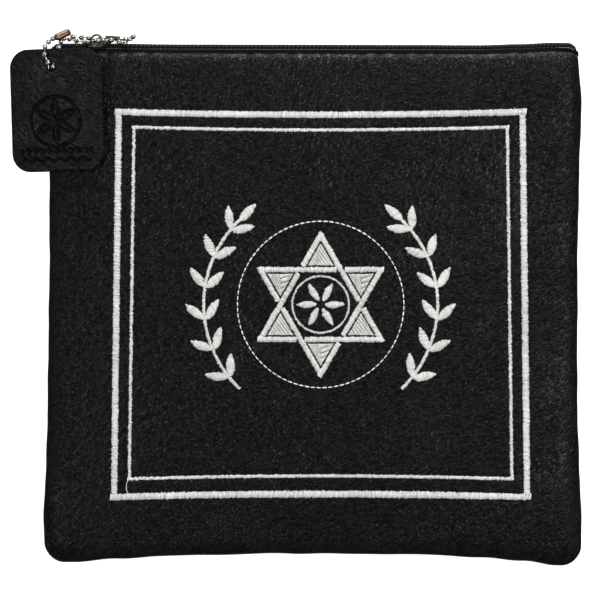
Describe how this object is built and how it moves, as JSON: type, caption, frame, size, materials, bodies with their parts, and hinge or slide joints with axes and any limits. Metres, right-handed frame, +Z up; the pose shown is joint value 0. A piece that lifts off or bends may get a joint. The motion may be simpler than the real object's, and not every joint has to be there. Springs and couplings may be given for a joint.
{
  "type": "tefillin bag",
  "caption": "Flat square leather zip pouch for tefillin, lying on its back, with a stitched double border, a stitched ornament, and a leather fob on a ball chain.",
  "frame": {"origin": "middle of the flat back, on the surface that the pouch lies on", "axes": "+X to the right along the zip, +Y towards the zip, +Z up out of the embroidered front"},
  "size_m": [0.2549, 0.2391, 0.0229],
  "materials": {
    "leather": "black, fine creased grain, half matt",
    "thread": "silver-white satin stitch",
    "zip_tape": "black woven tape",
    "zip_coil": "black nylon coil",
    "dark_metal": "dark gunmetal plating, polished",
    "bronze": "antique bronze, polished"
  },
  "bodies": {
    "root": {"front_panel": "leather", "back_panel": "leather", "zip_tape_front": "zip_tape", "zip_tape_back": "zip_tape", "zip_coil": "zip_coil", "zip_slider": "dark_metal", "zip_puller": "dark_metal", "ball_chain": "dark_metal", "chain_connector": "bronze", "leather_fob": "leather", "border_outer": "thread", "border_inner": "thread", "motif_star": "thread", "motif_branch_left": "thread", "motif_branch_right": "thread"}
  },
  "joints": []
}
